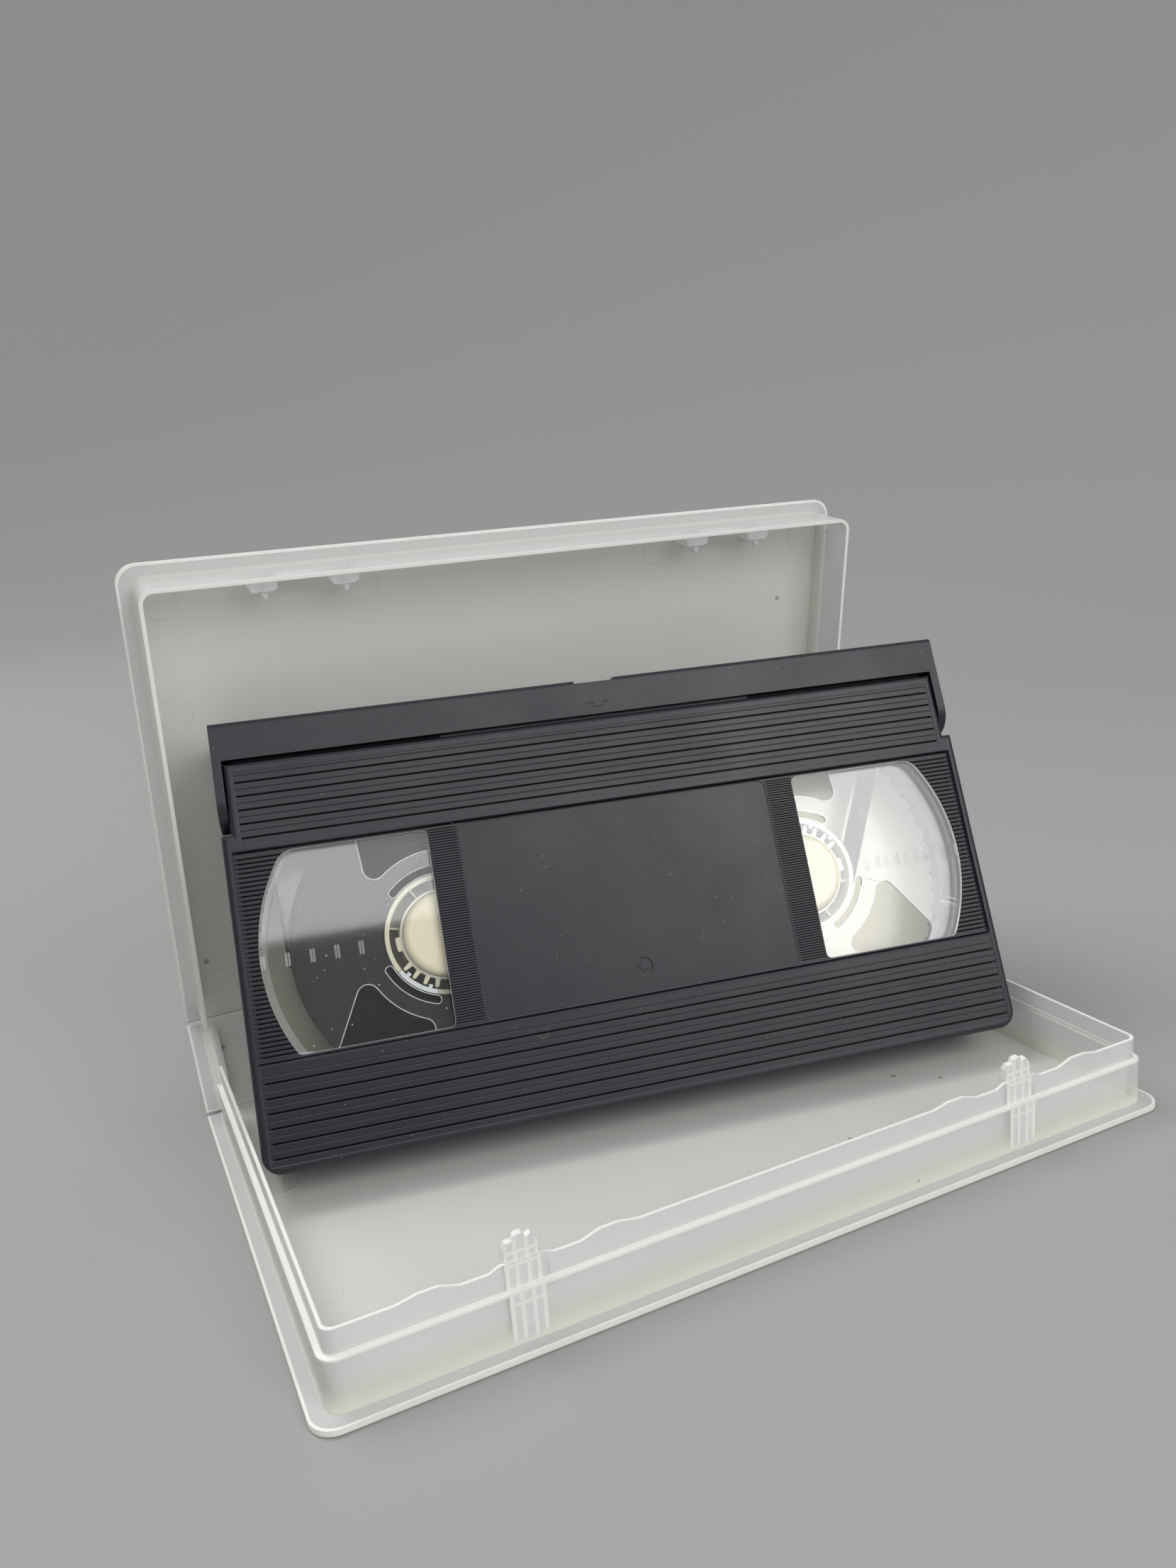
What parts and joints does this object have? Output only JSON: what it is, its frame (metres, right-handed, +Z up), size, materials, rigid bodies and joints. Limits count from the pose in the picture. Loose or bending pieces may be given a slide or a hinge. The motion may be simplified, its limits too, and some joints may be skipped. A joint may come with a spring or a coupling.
{
  "type": "video cassette in library case",
  "caption": "Video cassette with reels, windows and hinged tape door, leaning in an open translucent hinged library case.",
  "frame": {"origin": "centre of the tray's flat underside, on the surface the case stands on", "axes": "X along the case and its hinges, -Y towards the tray's front lip, +Z up; the lid stands at +Y"},
  "size_m": [0.203, 0.1463, 0.1442],
  "materials": {
    "case_translucent": "milky translucent, satin",
    "shell_black": "fine matte grain",
    "window_clear": "clear moulded plastic",
    "reel_white": "ivory moulding",
    "flange_clear": "clear moulded plastic",
    "tape": "smooth dark tape",
    "steel": "plain",
    "roller_white": "smooth",
    "brake_plastic": "plain"
  },
  "bodies": {
    "tray": {"case_base": "case_translucent"},
    "spine": {"case_spine": "case_translucent"},
    "lid": {"case_lid": "case_translucent"},
    "cassette": {"top_shell": "shell_black", "bottom_shell": "shell_black", "window_left": "window_clear", "window_right": "window_clear", "door_spring": "steel", "reel_leaf_spring": "steel", "brake_spring": "steel", "guide_pins": "steel", "tape_run": "tape", "tape_flap": "flange_clear", "shell_screws": "steel"},
    "door": {"tape_door": "shell_black"},
    "door_catch": {"door_latch": "brake_plastic"},
    "supply": {"supply_reel": "reel_white", "supply_reel_flange": "flange_clear", "supply_leader_clamp": "reel_white", "tape_pack": "tape"},
    "takeup": {"takeup_reel": "reel_white", "takeup_reel_flange": "flange_clear", "takeup_leader_clamp": "reel_white"},
    "roller": {"guide_roller": "roller_white"},
    "brake_release": {"brake_release_lever": "brake_plastic"},
    "brake_left": {"brake_pawl_left": "brake_plastic"},
    "brake_right": {"brake_pawl_right": "brake_plastic"}
  },
  "joints": [
    {"name": "cassette_take_out", "type": "slide", "parent": "tray", "child": "cassette", "axis": [0, -0.8988, 0.4384], "range_m": [0, 0.32]},
    {"name": "spine_hinge", "type": "hinge", "parent": "tray", "child": "spine", "pos_m": [0, 0.063, 0.0006], "axis": [1, 0, 0], "range_deg": [-44.5, 45.5]},
    {"name": "lid_hinge", "type": "hinge", "parent": "spine", "child": "lid", "pos_m": [0, 0.08269, 0.01995], "axis": [1, 0, 0], "range_deg": [-55.3, 34.7]},
    {"name": "door_hinge", "type": "hinge", "parent": "cassette", "child": "door", "pos_m": [0.00418, 0.0279, 0.08625], "axis": [0.9819, -0.1896, 0], "range_deg": [0, 90], "stiffness_Nm_per_rad": 0.004, "springref_deg": -34.38},
    {"name": "door_catch_pivot", "type": "hinge", "parent": "cassette", "child": "door_catch", "pos_m": [0.09312, 0.02329, 0.08847], "axis": [0.9819, -0.1896, 0], "range_deg": [-8, 0], "stiffness_Nm_per_rad": 0.002, "springref_deg": 17.19},
    {"name": "supply_reel_spin", "type": "hinge", "parent": "cassette", "child": "supply", "pos_m": [-0.04241, 0.02922, 0.04817], "axis": [-0.1736, -0.8991, 0.4019], "continuous": true},
    {"name": "takeup_reel_spin", "type": "hinge", "parent": "cassette", "child": "takeup", "pos_m": [0.04792, 0.01178, 0.04817], "axis": [-0.1736, -0.8991, 0.4019], "continuous": true},
    {"name": "guide_roller_spin", "type": "hinge", "parent": "cassette", "child": "roller", "pos_m": [-0.07396, 0.05574, 0.09386], "axis": [-0.1736, -0.8991, 0.4019], "continuous": true},
    {"name": "brake_release_lift", "type": "slide", "parent": "cassette", "child": "brake_release", "axis": [-0.1736, -0.8991, 0.4019], "range_m": [0, 0.002], "stiffness_N_per_m": 60, "springref_m": -0.001},
    {"name": "brake_left_pivot", "type": "hinge", "parent": "cassette", "child": "brake_left", "pos_m": [-0.01291, 0.01323, 0.00772], "axis": [-0.1736, -0.8991, 0.4019], "range_deg": [-8, 0]},
    {"name": "brake_right_pivot", "type": "hinge", "parent": "cassette", "child": "brake_right", "pos_m": [0.01458, 0.00792, 0.00772], "axis": [-0.1736, -0.8991, 0.4019], "range_deg": [0, 8]}
  ],
  "couplings": [
    {"joint": "spine_hinge", "follows": "cassette_take_out", "rad_per_m": 2.4816},
    {"joint": "lid_hinge", "follows": "cassette_take_out", "rad_per_m": 1.8926},
    {"joint": "takeup_reel_spin", "follows": "supply_reel_spin", "ratio": 2.5347},
    {"joint": "guide_roller_spin", "follows": "supply_reel_spin", "ratio": 11.587},
    {"joint": "brake_left_pivot", "follows": "brake_release_lift", "rad_per_m": -69.812},
    {"joint": "brake_right_pivot", "follows": "brake_release_lift", "rad_per_m": 69.812}
  ]
}
